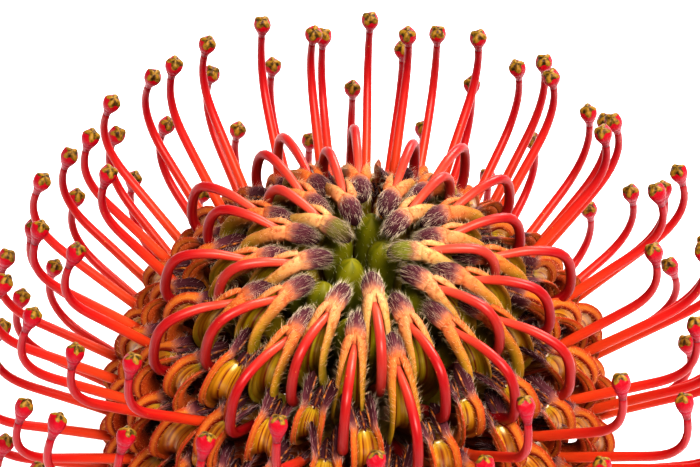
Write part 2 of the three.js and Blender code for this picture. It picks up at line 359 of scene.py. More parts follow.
def darkened(finish, skin):
    """A petal's downy skin that turns dark purple towards the petal's tip, later on a held tip."""
    held = between(finish, "age", FIRST_OPEN / FLORETS, (FIRST_OPEN - 1) / FLORETS)
    onset = math_node(finish, "SUBTRACT", attribute(finish, "along"), times(finish, held, 0.15))
    ragged = plus(finish, onset, times(finish, noise(finish, 1200), 0.24))
    dark = ramp(finish, ragged, [(0.45, (0.105, 0.030, 0.038)), (0.75, (0.050, 0.014, 0.019)),
                                 (1.0, (0.028, 0.006, 0.007))])
    youngest = times(finish, between(finish, "age", 0.094, 0.084), contrast(finish, ragged, 0.95, 0.6))
    greened = blended(finish, times(finish, youngest, 0.7), dark, YOUNG_GREEN)
    reddened = blended(finish, contrast(finish, ragged, 0.2, 0.36), skin, RUST)
    joined = blended(finish, contrast(finish, ragged, 0.31, 0.48), reddened, greened)
    silky = times(finish, contrast(finish, streaks(finish, 11), 0.5, 0.75), 0.2)
    return blended(finish, silky, joined, SILKY_ROSE)


def limb_finish():
    finish = new_finish("petal_tip", 0.7, Specular_IOR_Level=0.12, Specular_Tint=(1, 0.6, 0.5, 1),
                        Sheen_Weight=0.04, Sheen_Roughness=0.35, Sheen_Tint=(1, 0.7, 0.6, 1))
    coloured(finish, darkened(finish, downy_skin(finish)))
    bumped(finish, streaks(finish, 9), 0.8, 0.15 * MM)
    return finish.material


def margin_finish():
    """Across is 1 on a margin's free rim and -1 where it joins the floor; a dark line follows each."""
    finish = new_finish("petal_margin", 0.6, Specular_IOR_Level=0.12, Specular_Tint=(1, 0.4, 0.2, 1),
                        Sheen_Weight=0.03, Sheen_Roughness=0.35, Sheen_Tint=(1, 0.5, 0.3, 1))
    lower = times(finish, between(finish, "along", 0.0, -0.9), 0.75)
    footed = blended(finish, lower, downy_skin(finish), MARGIN_FOOT)
    line = times(finish, between(finish, "across", -0.15, -0.6), 0.9)
    band = times(finish, contrast(finish, to_either_side(finish), 0.75, 0.3), 0.45)
    banded = blended(finish, band, footed, GOLDEN_BAND)
    lined = blended(finish, line, banded, MARGIN_LINE)
    rim = times(finish, between(finish, "across", 0.8, 0.98), 0.7)
    rimmed = blended(finish, rim, lined, RED_RIM)
    coloured(finish, darkened(finish, rimmed))
    bumped(finish, noise(finish, 3200), 0.5, 0.1 * MM)
    return finish.material


def anther_finish():
    finish = new_finish("anther", 0.55)
    coloured(finish, ramp(finish, contrast(finish, noise(finish, 1500), 0.35, 0.65), [
        (0.0, (0.04, 0.012, 0.006)), (0.55, (0.20, 0.045, 0.006)), (1.0, (0.44, 0.15, 0.01))]))
    bumped(finish, noise(finish, 5000), 0.8, 0.1 * MM)
    return finish.material


# %% [markdown]
# Down is what makes the flower look alive. A hair is a thin three-sided spike. Silver bristles lie on
# the dark petal tips, and short peach down edges the petals. A hair's colour changes from root to tip.

# %% Hair and pollen finishes
def hair_finish(name, root, tip, old_tip):
    finish = new_finish(name, 0.5, Specular_IOR_Level=0.3, Subsurface_Weight=0.1)
    young = ramp(finish, attribute(finish, "along"), [(0.0, root), (0.6, tip)])
    old = ramp(finish, attribute(finish, "along"), [(0.0, root), (0.6, old_tip)])
    coloured(finish, blended(finish, between(finish, "age", 0.2, 0.45), young, old))
    return finish.material


def pollen_finish():
    finish = new_finish("pollen", 0.6)
    coloured(finish, ramp(finish, noise(finish, 900), [
        (0.35, (0.42, 0.15, 0.01)), (0.65, (0.55, 0.30, 0.03))]))
    return finish.material


# %% [markdown]
# A style is waxy and a little translucent. A free one is orange-red near the petals and crimson at the
# knob. A looped one is crimson where it leaves the tube and coral where the petal tips hold it; that
# run is made steeper with painted shade on the loop's lower part and painted light on its top. The
# presenter is crimson with an olive, ridged top; its ridges come from the mesh, and the across attribute
# carries them on to the colour.

# %% Style finishes
PALE_SALMON = (0.58, 0.14, 0.08)
ORANGE_STREAK = (0.54, 0.11, 0.045)


def style_finish():
    finish = new_finish("style", 0.38, Specular_IOR_Level=0.46, Specular_Tint=(1, 0.62, 0.55, 1),
                        Subsurface_Weight=0.15, Subsurface_Radius=(1.0, 0.25, 0.12),
                        Subsurface_Scale=1 * MM)
    pin = ramp(finish, attribute(finish, "along"), [
        (0.0, (0.62, 0.15, 0.022)), (0.35, (0.57, 0.065, 0.014)), (0.65, (0.46, 0.015, 0.010)),
        (0.85, (0.33, 0.002, 0.010)), (1.0, (0.28, 0.001, 0.014))])
    # Looped styles: crimson low down to coral at the end, partly real colour and partly painted shade below
    # and painted light on top.
    loop = ramp(finish, attribute(finish, "along"), [
        (0.0, (0.14, 0.001, 0.003)), (0.54, (0.23, 0.001, 0.006)), (0.71, (0.34, 0.006, 0.010)),
        (0.86, (0.50, 0.055, 0.030)), (1.0, (0.60, 0.140, 0.080))])
    opened = between(finish, "age", (FIRST_OPEN - 2) / FLORETS, FIRST_OPEN / FLORETS)
    both = blended(finish, opened, loop, pin)
    young = times(finish, between(finish, "age", 0.14, 0.07), 0.3)
    paled = blended(finish, young, both, PALE_SALMON)
    faint = times(finish, contrast(finish, streaks(finish, 6), 0.4, 0.7), 0.14)
    coloured(finish, blended(finish, faint, paled, ORANGE_STREAK))
    bumped(finish, noise(finish, 1800), 0.15, 0.05 * MM)
    return finish.material


def presenter_finish():
    finish = new_finish("presenter", 0.42, Specular_IOR_Level=0.3, Specular_Tint=(1, 0.6, 0.6, 1),
                        Subsurface_Weight=0.15, Subsurface_Radius=(0.8, 0.2, 0.1),
                        Subsurface_Scale=1 * MM)
    red = ramp(finish, attribute(finish, "along"), [
        (0.0, (0.25, 0.002, 0.012)), (0.4, (0.34, 0.002, 0.020)), (0.8, (0.36, 0.003, 0.014))])
    ridge = between(finish, "across", -0.6, 0.6)
    rough = plus(finish, times(finish, ridge, 0.35), contrast(finish, noise(finish, 1700, 4.0), 0.3, 0.85))
    olive = ramp(finish, rough, [(0.2, (0.035, 0.018, 0.004)), (0.5, (0.13, 0.075, 0.008)),
                                 (0.8, (0.27, 0.145, 0.014))])
    wavy = plus(finish, attribute(finish, "along"), times(finish, attribute(finish, "across"), 0.04))
    ragged = plus(finish, wavy, times(finish, noise(finish, 1300), 0.16))
    top = contrast(finish, ragged, 0.925, 0.95)
    coloured(finish, blended(finish, top, red, olive))
    bumped(finish, noise(finish, 2200), 0.7, 0.2 * MM)
    return finish.material


FLORET_FINISHES = [
    petal_inside_finish(),
    petal_outside_finish(),
    limb_finish(),
    anther_finish(),
    hair_finish("silver_hair", (0.28, 0.17, 0.14), (0.78, 0.63, 0.42), (0.62, 0.46, 0.42)),
    hair_finish("peach_down", (0.66, 0.28, 0.10), (0.90, 0.72, 0.48), (0.84, 0.40, 0.20)),
    pollen_finish(),
    style_finish(),
    presenter_finish(),
    margin_finish(),
]
# A face's finish is its place in the list.
INSIDE, OUTSIDE, LIMB, ANTHER, SILVER, PEACH, POLLEN, STYLE, PRESENTER, MARGIN = range(len(FLORET_FINISHES))
print("floret finishes:", len(FLORET_FINISHES))

# %% [markdown]
# Nearly every organ of the flower is a stalk: a style, a gutter-shaped petal, a petal tip, an anther.
# So one kind of template serves them all, a capped cylinder cut into rings with loop cuts. A floret
# copies the template, and its rings are carried along the floret's own curved line. A curve object with
# a bevel could do the styles, but not the gutters, and it would not carry the attributes.

# %% Stalk templates
# The faces of a gutter that lie lower than this in its template show the inside of the petals.
INNER_FACE = -0.6


def finished_mesh(name, bm):
    mesh = bpy.data.meshes.new(name)
    bm.to_mesh(mesh)
    bm.free()
    return mesh


def vertex_places(mesh):
    return np.array([vertex.co for vertex in mesh.vertices])


def stalk_template(name, sides, rings, finish, inner_finish=None):
    """A capped cylinder of unit radius; each vertex keeps its ring, its share of the way and its angle."""
    bm = bmesh.new()
    bmesh.ops.create_cone(bm, cap_ends=True, segments=sides, radius1=1, radius2=1, depth=1)
    upright = [edge for edge in bm.edges if abs(edge.verts[0].co.z - edge.verts[1].co.z) > 0.5]
    bmesh.ops.subdivide_edges(bm, edges=upright, cuts=rings - 2, use_grid_fill=True)
    for face in bm.faces:
        face.smooth = True
        inner = inner_finish is not None and face.calc_center_median().y < INNER_FACE
        face.material_index = inner_finish if inner else finish
    mesh = finished_mesh(name, bm)
    points = vertex_places(mesh)
    ring = np.rint((points[:, 2] + 0.5) * (rings - 1)).astype(int)
    return SimpleNamespace(mesh=mesh, ring=ring, rings=rings, share=ring / (rings - 1),
                           angle=np.arctan2(points[:, 1], points[:, 0]))


GUTTER = stalk_template("gutter_template", 20, 30, OUTSIDE, INSIDE)
FREE_CLAW = stalk_template("free_claw_template", 12, 16, OUTSIDE, INSIDE)
RIBBON = stalk_template("margin_template", 12, 20, MARGIN)
PETAL_TIP = stalk_template("petal_tip_template", 10, 9, LIMB)
HELD_TIP = stalk_template("held_tip_template", 20, 16, LIMB)
ANTHER_BAR = stalk_template("anther_template", 6, 4, ANTHER)
STYLE_STALK = stalk_template("style_template", 10, 34, STYLE)
KNOB = stalk_template("presenter_template", 20, 14, PRESENTER)
print("a style has", len(STYLE_STALK.mesh.polygons), "faces, a petal", len(GUTTER.mesh.polygons))

# %% [markdown]
# Carrying a template along a line needs a frame at each ring: the direction of the line, a sideways
# direction and the one square to both, which points to the top of the head. The offsets in that frame
# give the section, so the same few lines make a round style, a flat petal tip or a deep gutter.

# %% Carrying a template along a line
def unit(vectors):
    return vectors / np.linalg.norm(vectors, axis=-1, keepdims=True)


def directions(line):
    return unit(np.gradient(line, axis=0))


def line_normal(line, side):
    return unit(np.cross(directions(line), side))


def carried(shape, line, side, across, up):
    """The template's vertices, across and up from the line at the place of their ring."""
    tangent = directions(line)
    normal = unit(np.cross(tangent, side))
    level = unit(np.cross(normal, tangent))
    ring = shape.ring
    return line[ring] + across[:, None] * level[ring] + up[:, None] * normal[ring]


def carried_round(shape, line, side, radius):
    return carried(shape, line, side, radius * np.cos(shape.angle), radius * np.sin(shape.angle))


def part(shape, points, along, across, floret):
    """One organ, ready to be joined: its template, points and attribute values."""
    size = len(points)
    values = {"along": np.broadcast_to(along, size), "across": np.broadcast_to(across, size),
              "age": np.broadcast_to(age[floret], size)}
    return SimpleNamespace(mesh=shape.mesh, points=points, values=values)


def grown(name, parts, finishes, replaced):
    """One piece made of organs: their templates joined, then moved to the organs' own points."""
    bm = bmesh.new()
    for organ in parts:
        bm.from_mesh(organ.mesh)
    mesh = finished_mesh(name, bm)
    points = np.concatenate([organ.points for organ in parts])
    mesh.vertices.foreach_set("co", points.astype(np.float32).ravel())
    for key in ("along", "across", "age"):
        values = np.concatenate([organ.values[key] for organ in parts])
        layer = mesh.attributes.new(key, "FLOAT", "POINT")
        layer.data.foreach_set("value", values.astype(np.float32))
    for finish in finishes:
        mesh.materials.append(finish)
    mesh.update()
    made = bpy.data.objects.new(name, mesh)
    bpy.context.scene.collection.objects.link(made)
    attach(made, "root")
    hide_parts(replaced)
    return made


# %% [markdown]
# Hairs come in tufts, one mesh of many spikes, because thousands of single objects would be slow. Each
# spike in the template stands on a place of its own, so its number, its foot and its tip can be read
# back. Grains of pollen come the same way. Particles or hair curves would be easier, but only a mesh
# stays with the flower when it leaves this program.

# %% Hair tufts and pollen
TEMPLATE_STEP = 10


def spike(bm, there):
    bmesh.ops.create_cone(bm, cap_ends=False, segments=3, radius1=1, radius2=0, depth=1, matrix=there)


def grain(bm, there):
    bmesh.ops.create_icosphere(bm, subdivisions=1, radius=1, matrix=there)


def crowd_template(name, make_one, count, finish):
    """Many small shapes in one mesh; each vertex keeps its shape's number and its place in the shape."""
    bm = bmesh.new()
    for k in range(count):
        make_one(bm, Matrix.Translation((k * TEMPLATE_STEP, 0, 0)))
    for face in bm.faces:
        face.material_index = finish
    mesh = finished_mesh(name, bm)
    points = vertex_places(mesh)
    which = np.rint(points[:, 0] / TEMPLATE_STEP).astype(int)
    points[:, 0] -= which * TEMPLATE_STEP
    return SimpleNamespace(mesh=mesh, count=count, which=which, surface=points)


def tuft(shape, roots, leans, lengths, floret):
    """A tuft whose spikes stand on the roots, each leaning its own way."""
    direction = unit(leans)
    first = unit(np.cross(direction, ASKEW))
    second = np.cross(direction, first)
    k = shape.which
    angle = np.arctan2(shape.surface[:, 1], shape.surface[:, 0])
    tip = shape.surface[:, 2] > 0
    foot = (np.cos(angle)[:, None] * first[k] + np.sin(angle)[:, None] * second[k]) * HAIR_WIDTH
    points = roots[k] + np.where(tip[:, None], direction[k] * lengths[k, None], foot)
    return part(shape, points, tip.astype(float), 0.0, floret)


def grains_on(shape, organ, least_along, floret):
    """Pollen grains on some vertices of an organ that is already made."""
    chosen = rng.choice(np.flatnonzero(organ.values["along"] > least_along), shape.count)
    sizes = rng.uniform(*GRAIN_RADII, shape.count)
    points = organ.points[chosen][shape.which] + shape.surface * sizes[shape.which, None]
    return part(shape, points, 0.5, 0.0, floret)


def down_on(organ, shape, allowed, tufts, lengths, floret):
    """Short down that starts from the allowed vertices of an organ and leans towards its tip."""
    chosen = rng.choice(allowed, tufts.count)
    centre = np.zeros((shape.rings, 3))
    np.add.at(centre, shape.ring, organ.points)
    centre /= np.bincount(shape.ring)[:, None]
    tangent = directions(centre)[shape.ring[chosen]]
    out = unit(organ.points[chosen] - centre[shape.ring[chosen]])
    roots = organ.points[chosen] + tangent * rng.uniform(-0.25, 0.25, (tufts.count, 1)) * MM
    lean = out * rng.uniform(0.4, 1.0, (tufts.count, 1)) + tangent * 0.7 + rng.normal(0, 0.2, out.shape)
    return tuft(tufts, roots, lean, rng.uniform(*lengths, tufts.count), floret)


ASKEW = np.array([0.31, 0.52, 0.8])
LIMB_TUFT = crowd_template("petal_tip_bristles_template", spike, 110, SILVER)
HELD_TUFT = crowd_template("held_tip_bristles_template", spike, 400, SILVER)
BEAK_TUFT = crowd_template("beak_down_template", spike, 240, PEACH)
DOWN_TUFT = crowd_template("petal_down_template", spike, 140, PEACH)
POLLEN_GRAINS = crowd_template("pollen_template", grain, 6, POLLEN)
STRAY_GRAINS = crowd_template("stray_pollen_template", grain, 3, POLLEN)
GRAIN_RADII = (0.05 * MM, 0.10 * MM)
HAIR_WIDTH = 0.02 * MM
TIP_BRISTLES = (0.5 * MM, 1.5 * MM)
BEAK_DOWN = (0.5 * MM, 1.4 * MM)
SHORT_DOWN = (0.3 * MM, 0.8 * MM)
rng = np.random.default_rng(21)
print("spikes on a held petal tip:", HELD_TUFT.count)

# %% [markdown]
# An open floret's petals are three claws joined side by side into a gutter. It stands straight up from
# the receptacle, then rolls back towards the top of the head, less on the young florets and almost into
# a full coil on the old ones. The line is walked step by step: its heading starts outwards and turns
# faster and faster, as a real petal rolls. The section is an arc with thick margins, whose walls stand
# up on the outside of the roll. A small tilt and twist of its own keeps each floret from being a copy.

# %% The gutter of joined petals
# A gutter stands this far from its floret's place, towards the top of the head.
APICAL_OFFSET = math.radians(6.7)
PETAL_TOP_RADIUS = 36.8 * MM
PETAL_THICKNESS = 0.32 * MM
GUTTER_RADIUS = 1.9 * MM
# Over the roll, the gutter's walls stand out this far beyond its line.
GUTTER_RISE = 2.1 * MM
JOIN_RIDGE = 0.4 * MM
FLAT_TOP = 1.2 * MM
TIP_LENGTH = 4.7 * MM
# Powers that set how early the florets ripen down the head, and how a roll tightens towards its end.
RIPENING = 0.8
TIGHTENING = 1.12
YOUNG_TURN = math.radians(96)
OLD_TURN = math.radians(175)
TURN_WOBBLE = math.radians(15)
YOUNG_BEND_RADIUS = 3.8 * MM
OLD_BEND_RADIUS = 3.2 * MM
YOUNG_TIP_CURL = math.radians(20)
OLD_TIP_CURL = math.radians(65)
TWIST_WOBBLE = math.radians(20)
TILT_WOBBLE = math.radians(22)
SIZE_WOBBLE = 0.12
EDGE_WAVE = math.radians(5)
# The hidden foot of a gutter has only a few rings; most of them are kept for what shows.
HIDDEN_STATIONS = 4
HIDDEN_SHARE = 0.55
SHOWN_SHARE = 0.62
WALK_STEPS = 240
# 0 on the youngest open floret, almost 1 on the oldest.
open_age = np.clip((number - FIRST_OPEN) / (FLORETS - FIRST_OPEN), 0, 1)


def perianth_up(floret):
    return polar[floret] - min(APICAL_OFFSET, polar[floret] / 2)


def walked_line(start, headings, azimuth, stride):
    steps = outwards(headings, azimuth) * stride
    return np.vstack([start, start + np.cumsum(steps, axis=0)])


def at_lengths(line, wanted):
    """Points on a line at given distances from its start."""
    gone = np.concatenate([[0], np.cumsum(np.linalg.norm(np.diff(line, axis=0), axis=1))])
    return np.stack([np.interp(wanted, gone, line[:, k]) for k in range(3)], -1)


def rolled_line(floret):
    """The gutter's whole line, its tips included, with the length where its roll starts and ends."""
    ripe = open_age[floret] ** RIPENING
    turn = mix(YOUNG_TURN, OLD_TURN, ripe) + TURN_WOBBLE * wobble(floret, TURN)
    bend_radius = mix(YOUNG_BEND_RADIUS, OLD_BEND_RADIUS, ripe)
    roll = turn * bend_radius
    straight = PETAL_TOP_RADIUS - GUTTER_RISE - bend_radius - SEAT_RADIUS
    roll_end = straight + roll + FLAT_TOP
    stride = (roll_end + TIP_LENGTH) / WALK_STEPS
    gone = (np.arange(WALK_STEPS) + 0.5) * stride
    rolled = np.clip((gone - straight) / roll, 0, 1)
    tipward = np.clip((gone - roll_end) / TIP_LENGTH, 0, 1)
    curl = mix(YOUNG_TIP_CURL, OLD_TIP_CURL, ripe)
    heading = perianth_up(floret) - turn * rolled ** TIGHTENING - curl * tipward
    azimuth = around[floret] + TWIST_WOBBLE * wobble(floret, TWIST) * rolled
    start = place(SEAT_RADIUS, perianth_up(floret), around[floret])
    return walked_line(start, heading, azimuth, stride), straight, roll_end


def tilted_side(floret):
    """Sideways, turned a little about the floret's own direction once the petal has rolled over."""
    tilt = TILT_WOBBLE * wobble(floret, TILT)
    up = outwards(perianth_up(floret), around[floret])
    return sideways(around[floret]) * math.cos(tilt) + up * math.sin(tilt)


def gutter_profile(floret, share):
    """Radius and half opening of an open gutter's section, from its foot (0) to its end (1)."""
    size = GUTTER_RADIUS * (1 + SIZE_WOBBLE * wobble(floret, LENGTH))
    wave = EDGE_WAVE * np.sin(9 * share + floret)
    radii = np.interp(share, [0, 0.3, 0.62, 0.8, 0.94, 1], [0.4, 0.9, 1.05, 1.08, 0.95, 0.7]) * size
    return radii, np.radians(np.interp(share, [0, 0.5, 0.75, 1], [110, 92, 98, 90])) + wave


def gutter_section(shape, radii, openings, thickness, margin, ridge):
    """Offsets of a gutter's section: a sheet bent to an arc, open on the side away from the roll.

    Low ridges run where its three petals are joined, at a third of the way to either margin."""
    spread = np.cos(shape.angle)
    bend = spread * openings[shape.ring]
    rounded = np.sign(np.sin(shape.angle)) * np.abs(np.sin(shape.angle)) ** 0.6
    skin = rounded * (thickness + margin * spread ** 4) / 2
    radius = radii[shape.ring] + skin - ridge * (1 - np.abs(np.cos(1.5 * np.pi * spread)))
    return spread, radius * np.sin(bend), radius * np.cos(bend) - radii[shape.ring]


def open_gutter(floret):
    line, roll_start, roll_end = rolled_line(floret)
    hidden = np.linspace(0, HIDDEN_SHARE * roll_start, HIDDEN_STATIONS)
    shown = np.linspace(SHOWN_SHARE * roll_start, roll_end, GUTTER.rings - HIDDEN_STATIONS)
    stations = np.concatenate([hidden, shown])
    share = stations / roll_end
    radii, openings = gutter_profile(floret, share)
    margin = np.interp(share, [0.5, 0.75, 1], [0.9, 0.5, 0.1])[GUTTER.ring] * MM
    spread, across, up = gutter_section(GUTTER, radii, openings, PETAL_THICKNESS, margin, JOIN_RIDGE)
    points = carried(GUTTER, at_lengths(line, stations), tilted_side(floret), across, up)
    return part(GUTTER, points, share[GUTTER.ring], spread, floret), line, roll_start, roll_end


# %% [markdown]
# Each petal ends in a limb: a narrow tip, dark purple and bristly on its back, with one anther in its
# bowl. The two outer petals are ribbons that thicken the gutter's margins and run on beyond its end as
# limbs; the middle limb is a thin spoon at the end of the floor. One attribute, along, is about -1 at
# the foot of the margin, 0 where the limb starts and 1 at its tip, so one finish colours the ribbon.

# %% Margins, petal tips and anthers
LIMB_START = 1.2 * MM
LIMB_SPREAD = 0.35 * MM
LIMB_SPREAD_WOBBLE = 0.7 * MM
LIMB_LIFT = 0.6 * MM
LOWER_LEAN = math.radians(18)
UPPER_LEAN = math.radians(46)
LEAN_WOBBLE = math.radians(14)
RIBBON_PLACES = [0, 0.12, 0.5, 0.68, 0.84, 0.95, 1]
RIBBON_HALF_THICKNESS = np.array([0.1, 0.22, 0.25, 0.36, 0.42, 0.3, 0.04]) * MM
RIBBON_HALF_DEPTH = np.array([0.1, 0.6, 0.8, 1.1, 1.2, 0.7, 0.04]) * MM
MIDDLE_OVERLAP = 0.5 * MM
MIDDLE_LENGTH = 0.75 * TIP_LENGTH
MIDDLE_HALF_WIDTH = 0.9 * MM
MIDDLE_HALF_DEPTH = 0.4 * MM
ANTHER_RADIUS = 0.2 * MM
ANTHER_ASIDE = 0.5 * MM


def tip_profile(share):
    return np.sin(np.pi * np.clip(0.2 + 0.79 * share, 0, 1)) ** 0.65


def between_rings(centre, where):
    low = where.astype(int)
    return mix(centre[low], centre[low + 1], (where - low)[:, None])


def anther(centre, first, last, aside, side, floret):
    """A bar along a limb's centre line, from one ring to another, moved aside into the limb's bowl."""
    places = between_rings(centre, np.linspace(first, last, ANTHER_BAR.rings)) + aside
    radius = ANTHER_RADIUS * np.sin(np.pi * (0.15 + 0.7 * ANTHER_BAR.share))
    return part(ANTHER_BAR, carried_round(ANTHER_BAR, places, side, radius), ANTHER_BAR.share, 0.0, floret)


def margin_ribbon(floret, line, roll_start, roll_end, lane):
    """One outer petal's margin and limb, with its anther and bristles; lane is -1 or 1."""
    side = tilted_side(floret)
    stations = np.linspace(mix(roll_start, roll_end, 0.2), roll_end + TIP_LENGTH, RIBBON.rings)
    radii, openings = gutter_profile(floret, np.clip(stations / roll_end, 0, 1))
    beyond = np.clip((stations - roll_end) / TIP_LENGTH, 0, 1)
    spread = LIMB_SPREAD * lane + LIMB_SPREAD_WOBBLE * wobble(floret, LAUNCH)
    apart = lane * radii * np.sin(openings) + spread * beyond
    lift = radii * (np.cos(openings) - 1) + LIMB_LIFT * beyond
    centre = at_lengths(line, stations)
    centre = centre + apart[:, None] * side + lift[:, None] * line_normal(centre, side)
    limb = np.clip((stations - roll_end + LIMB_START) / (TIP_LENGTH + LIMB_START), -1, 1)
    edged = np.cos(RIBBON.angle) * np.abs(np.cos(RIBBON.angle)) ** 0.35
    thin = np.interp(RIBBON.share, RIBBON_PLACES, RIBBON_HALF_THICKNESS) * edged
    tall = np.interp(RIBBON.share, RIBBON_PLACES, RIBBON_HALF_DEPTH) * np.sin(RIBBON.angle)
    leaning = lane * mix(LOWER_LEAN, UPPER_LEAN, RIBBON.share) + LEAN_WOBBLE * wobble(floret, FINISH)
    points = carried(RIBBON, centre, side, thin * np.cos(leaning) - tall * np.sin(leaning),
                     thin * np.sin(leaning) + tall * np.cos(leaning))
    ribbon = part(RIBBON, points, limb[RIBBON.ring], -np.sin(RIBBON.angle), floret)
    dark = np.flatnonzero((ribbon.values["along"] > 0.1) & (RIBBON.ring < RIBBON.rings - 2))
    edge = np.flatnonzero(ribbon.values["along"] <= 0.25)
    first = int(np.argmax(beyond > 0))
    return [ribbon, anther(centre, first, RIBBON.rings - 2.2, -ANTHER_ASIDE * lane * side, side, floret),
            down_on(ribbon, RIBBON, dark, LIMB_TUFT, TIP_BRISTLES, floret),
            down_on(ribbon, RIBBON, edge, DOWN_TUFT, SHORT_DOWN, floret)]


def middle_tip(floret, line, roll_end):
    side = tilted_side(floret)
    centre = at_lengths(line, roll_end - MIDDLE_OVERLAP + np.linspace(0, MIDDLE_LENGTH, PETAL_TIP.rings))
    swell = tip_profile(PETAL_TIP.share)
    points = carried(PETAL_TIP, centre, side, MIDDLE_HALF_WIDTH * swell * np.cos(PETAL_TIP.angle),
                     MIDDLE_HALF_DEPTH * swell * np.sin(PETAL_TIP.angle))
    tip = part(PETAL_TIP, points, 0.5 + 0.5 * PETAL_TIP.share, np.cos(PETAL_TIP.angle), floret)
    aside = -ANTHER_ASIDE * line_normal(centre, side)[3]
    return [tip, anther(centre, 1, PETAL_TIP.rings - 2.01, aside, side, floret)]


# %% [markdown]
# The fourth petal of an open floret lets go of the others. It is a narrow strip on the lower side of
# the style that rolls the other way, outwards and down, and fills the gaps between the big coils.

# %% The free fourth petal
FREE_FOOT_RADIUS = 24 * MM
FREE_ROOT_OFFSET = math.radians(3)
FREE_STRAIGHT = 6.5 * MM
FREE_ROLL = 8.2 * MM
YOUNG_FREE_TURN = math.radians(150)
OLD_FREE_TURN = math.radians(230)
FREE_TIGHTENING = 1.2
FREE_LEAN_WOBBLE = math.radians(12)
FREE_CLAW_RADIUS = 1.3 * MM
FREE_OPENING = math.radians(50)
FREE_MARGIN = 0.3 * MM


def free_petal(floret):
    root = polar[floret] + FREE_ROOT_OFFSET
    turn = mix(YOUNG_FREE_TURN, OLD_FREE_TURN, open_age[floret])
    start = place(FREE_FOOT_RADIUS, root, around[floret])
    stride = (FREE_STRAIGHT + FREE_ROLL) / WALK_STEPS
    gone = (np.arange(WALK_STEPS) + 0.5) * stride
    heading = root + turn * np.clip((gone - FREE_STRAIGHT) / FREE_ROLL, 0, 1) ** FREE_TIGHTENING
    azimuth = around[floret] + FREE_LEAN_WOBBLE * wobble(floret, TWIST)
    line = walked_line(start, heading, azimuth, stride)
    share = np.linspace(0, 1, FREE_CLAW.rings)
    radii = np.interp(share, [0, 0.4, 0.8, 1], [0.8, 1, 0.9, 0.5]) * FREE_CLAW_RADIUS
    openings = np.full(FREE_CLAW.rings, FREE_OPENING)
    spread, across, up = gutter_section(FREE_CLAW, radii, openings, PETAL_THICKNESS, FREE_MARGIN, 0.0)
    centre = at_lengths(line, share * (FREE_STRAIGHT + FREE_ROLL))
    points = carried(FREE_CLAW, centre, -sideways(around[floret]), across, up)
    return part(FREE_CLAW, points, share[FREE_CLAW.ring], spread, floret)


# %% [markdown]
# A looped floret is younger. Its petals still hold the style's tip, so the gutter bends over to the top
# of the head, and its walls close over the style to a fuzzy beak. Beyond the beak the four limbs are
# still one ridged, dark egg. Its line is a smooth curve through a few places, as the construction has
# it.

# %% Looped petals and their held tips
HELD_LENGTH = 5.0 * MM
HELD_WIDTH = 3.1 * MM
BEAK_RADIUS = 1.05 * MM
BEAK_OVERLAP = 1.0 * MM
HIDDEN_LENGTH = 14 * MM
SHOWN_LENGTH = 16 * MM
LOOPED_MARGIN = 0.5 * MM
LOBE_HEIGHT = 0.06
HELD_BRISTLES = (0.8 * MM, 1.7 * MM)
ONE_DEGREE = math.radians(1)


def held_tip_angle(floret):
    return 0.8 * polar[floret] - 17.5 * ONE_DEGREE


def smooth_line(stops, pieces=16):
    """A smooth curve through points: each piece is a cubic whose slopes come from its neighbours."""
    ends = np.vstack([2 * stops[0] - stops[1], stops, 2 * stops[-1] - stops[-2]])
    share = (np.arange(pieces) / pieces)[:, None]
    made = []
    for before, here, there, after in zip(ends, ends[1:], ends[2:], ends[3:]):
        made.append(0.5 * (2 * here + (there - before) * share
                           + (2 * before - 5 * here + 4 * there - after) * share ** 2
                           + (3 * here - before - 3 * there + after) * share ** 3))
    return np.vstack([*made, stops[-1:]])


def on_floret(floret, places):
    """A smooth line through places on a floret: distances from the head's centre in mm, and angles."""
    radii, angles = np.array(places).T
    return smooth_line(place(radii * MM, angles, around[floret]))


def line_length(line):
    return np.linalg.norm(np.diff(line, axis=0), axis=1).sum()


def looped_line(floret):
    up = perianth_up(floret)
    tip = held_tip_angle(floret)
    return on_floret(floret, [
        (11.4, up), (20, up + 0.5 * ONE_DEGREE), (28, up + 0.5 * ONE_DEGREE),
        (32.4, up - 0.8 * ONE_DEGREE), (35, mix(up, tip, 0.25)), (36, mix(up, tip, 0.55)),
        (35.9, mix(up, tip, 0.82)), (35, tip)])


def held_swell(share):
    return np.sin(np.pi * np.clip(0.14 + 0.845 * share, 0, 1)) ** 0.6


def looped_gutter(floret, line, beak):
    """The joined petals from the foot to the beak; their section is given by the distance to it in mm."""
    stations = np.concatenate([np.linspace(0, HIDDEN_LENGTH, HIDDEN_STATIONS),
                               np.linspace(SHOWN_LENGTH, beak, GUTTER.rings - HIDDEN_STATIONS)])
    to_beak = (beak - stations) / MM
    radii = BEAK_RADIUS * np.interp(to_beak, [0, 1.5, 3.5, 6, 10, 17, 24],
                                    [1.25, 1.4, 1.6, 1.85, 2.2, 2.2, 0.7])
    openings = np.radians(np.interp(to_beak, [0, 1.2, 3, 6.5, 10], [174, 160, 136, 118, 106]))
    thickness = np.interp(to_beak, [0, 1, 3, 7], [0.3, 0.9, 0.75, 0.4])[GUTTER.ring] * MM
    spread, across, up = gutter_section(GUTTER, radii, openings, thickness, LOOPED_MARGIN, 0.5 * JOIN_RIDGE)
    points = carried(GUTTER, at_lengths(line, stations), sideways(around[floret]), across, up)
    return part(GUTTER, points, (stations / line_length(line))[GUTTER.ring], spread, floret)


